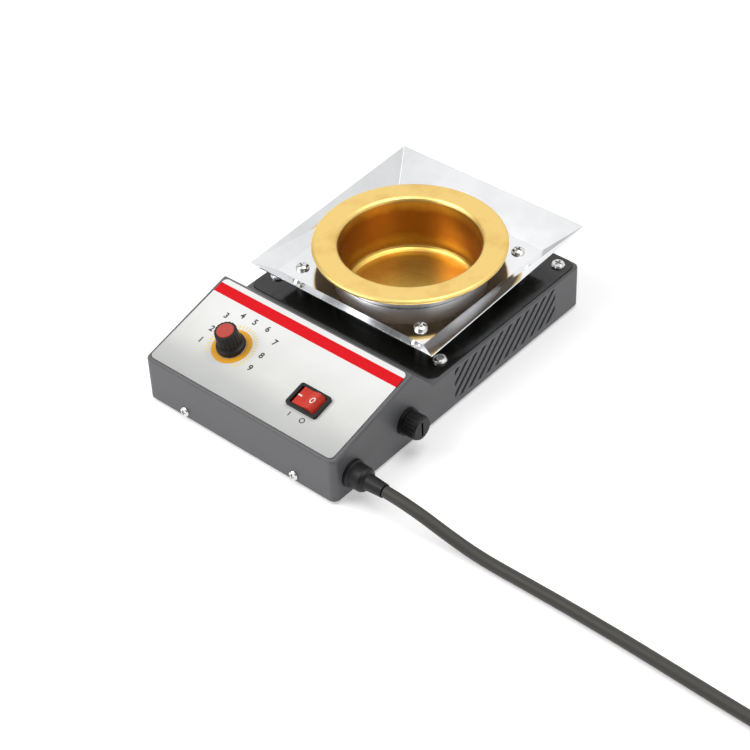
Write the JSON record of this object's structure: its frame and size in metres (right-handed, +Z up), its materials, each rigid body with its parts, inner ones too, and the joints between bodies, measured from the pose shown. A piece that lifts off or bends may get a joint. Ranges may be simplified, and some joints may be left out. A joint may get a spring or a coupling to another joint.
{
  "type": "solder pot",
  "caption": "Bench solder pot: a heated round crucible above a splash tray, with a sloping console that carries a heat knob and a mains switch.",
  "frame": {"origin": "on the table, under the middle of the whole outline without the cord", "axes": "+X to the right along the console's front, +Y to the back, +Z up"},
  "size_m": [0.5334, 0.219, 0.055],
  "materials": {
    "housing": "satin grey enamel",
    "zinc": "zinc-plated sheet",
    "screw": "bright plated",
    "foot_rubber": "matt black",
    "label": "printed film",
    "deck": "glossy black",
    "mirror_steel": "mirror finish",
    "gold_steel": "heat-tinted satin",
    "heater_metal": "dull cast",
    "insulation": "pressed fibre",
    "ceramic": "unglazed ceramic",
    "board": "solder mask",
    "board_parts": "moulded",
    "capacitor": "dipped",
    "choke": "enamelled copper",
    "aluminium": "extruded",
    "brass": "plated",
    "black_plastic": "moulded",
    "knob_cap": "moulded",
    "rocker_red": "translucent",
    "lamp": "glass tube",
    "fuse_glass": "clear tube",
    "wire_brown": "insulated",
    "wire_blue": "insulated",
    "wire_earth": "insulated",
    "cord": "matt",
    "pin_nickel": "nickel plated"
  },
  "bodies": {
    "base": {"housing": "housing", "base_plate": "zinc", "base_screws": "screw", "foot_front_left": "foot_rubber", "foot_front_right": "foot_rubber", "foot_rear_left": "foot_rubber", "foot_rear_right": "foot_rubber", "foot_screws": "screw", "label_plate": "label", "deck_plate": "deck", "deck_screws": "screw", "tray": "mirror_steel", "spacer_front_left": "zinc", "spacer_front_right": "zinc", "spacer_rear_left": "zinc", "spacer_rear_right": "zinc", "tray_screws": "screw", "tray_nuts": "zinc", "shroud": "mirror_steel", "shroud_flange": "zinc", "crucible": "gold_steel", "crucible_stud": "zinc", "crucible_nut": "zinc", "heater_plate": "heater_metal", "insulation_pad": "insulation", "lead_bushing": "ceramic", "control_board": "board", "board_spacers": "ceramic", "board_screws": "screw", "triac": "board_parts", "heat_sink": "aluminium", "capacitor": "capacitor", "choke": "choke", "potentiometer": "zinc", "potentiometer_nut": "brass", "switch_body": "black_plastic", "switch_terminals": "brass", "switch_lamp": "lamp", "fuse_holder": "black_plastic", "fuse_holder_nut": "black_plastic", "fuse_contact": "brass", "terminal_block": "ceramic", "earth_stud": "zinc", "live_wire": "wire_brown", "neutral_wire": "wire_blue", "earth_wire": "wire_earth", "heater_wires": "insulation", "cable_gland": "black_plastic", "gland_nut": "black_plastic", "power_cord": "cord", "cord_coil": "cord", "cord_tail": "cord", "plug_body": "black_plastic", "plug_pins": "pin_nickel"},
    "knob": {"knob_shaft": "aluminium", "knob": "black_plastic", "knob_cap": "knob_cap"},
    "rocker": {"rocker": "rocker_red"},
    "fuse": {"fuse": "fuse_glass"},
    "fuse_cap": {"fuse_cap": "black_plastic"}
  },
  "joints": [
    {"name": "knob_turn", "type": "hinge", "parent": "base", "child": "knob", "pos_m": [-0.041, -0.07949, 0.04211], "axis": [0, -0.2514, 0.9679], "range_deg": [-270, 0]},
    {"name": "rocker_tilt", "type": "hinge", "parent": "base", "child": "rocker", "pos_m": [0.021, -0.08397, 0.0335], "axis": [0, 0.9679, 0.2514], "range_deg": [0, 20]},
    {"name": "fuse_pull", "type": "slide", "parent": "base", "child": "fuse", "axis": [1, 0, 0], "range_m": [0, 0.03]},
    {"name": "fuse_cap_turn", "type": "hinge", "parent": "fuse", "child": "fuse_cap", "pos_m": [0.0575, -0.04975, 0.0187], "axis": [1, 0, 0], "range_deg": [0, 90]}
  ]
}
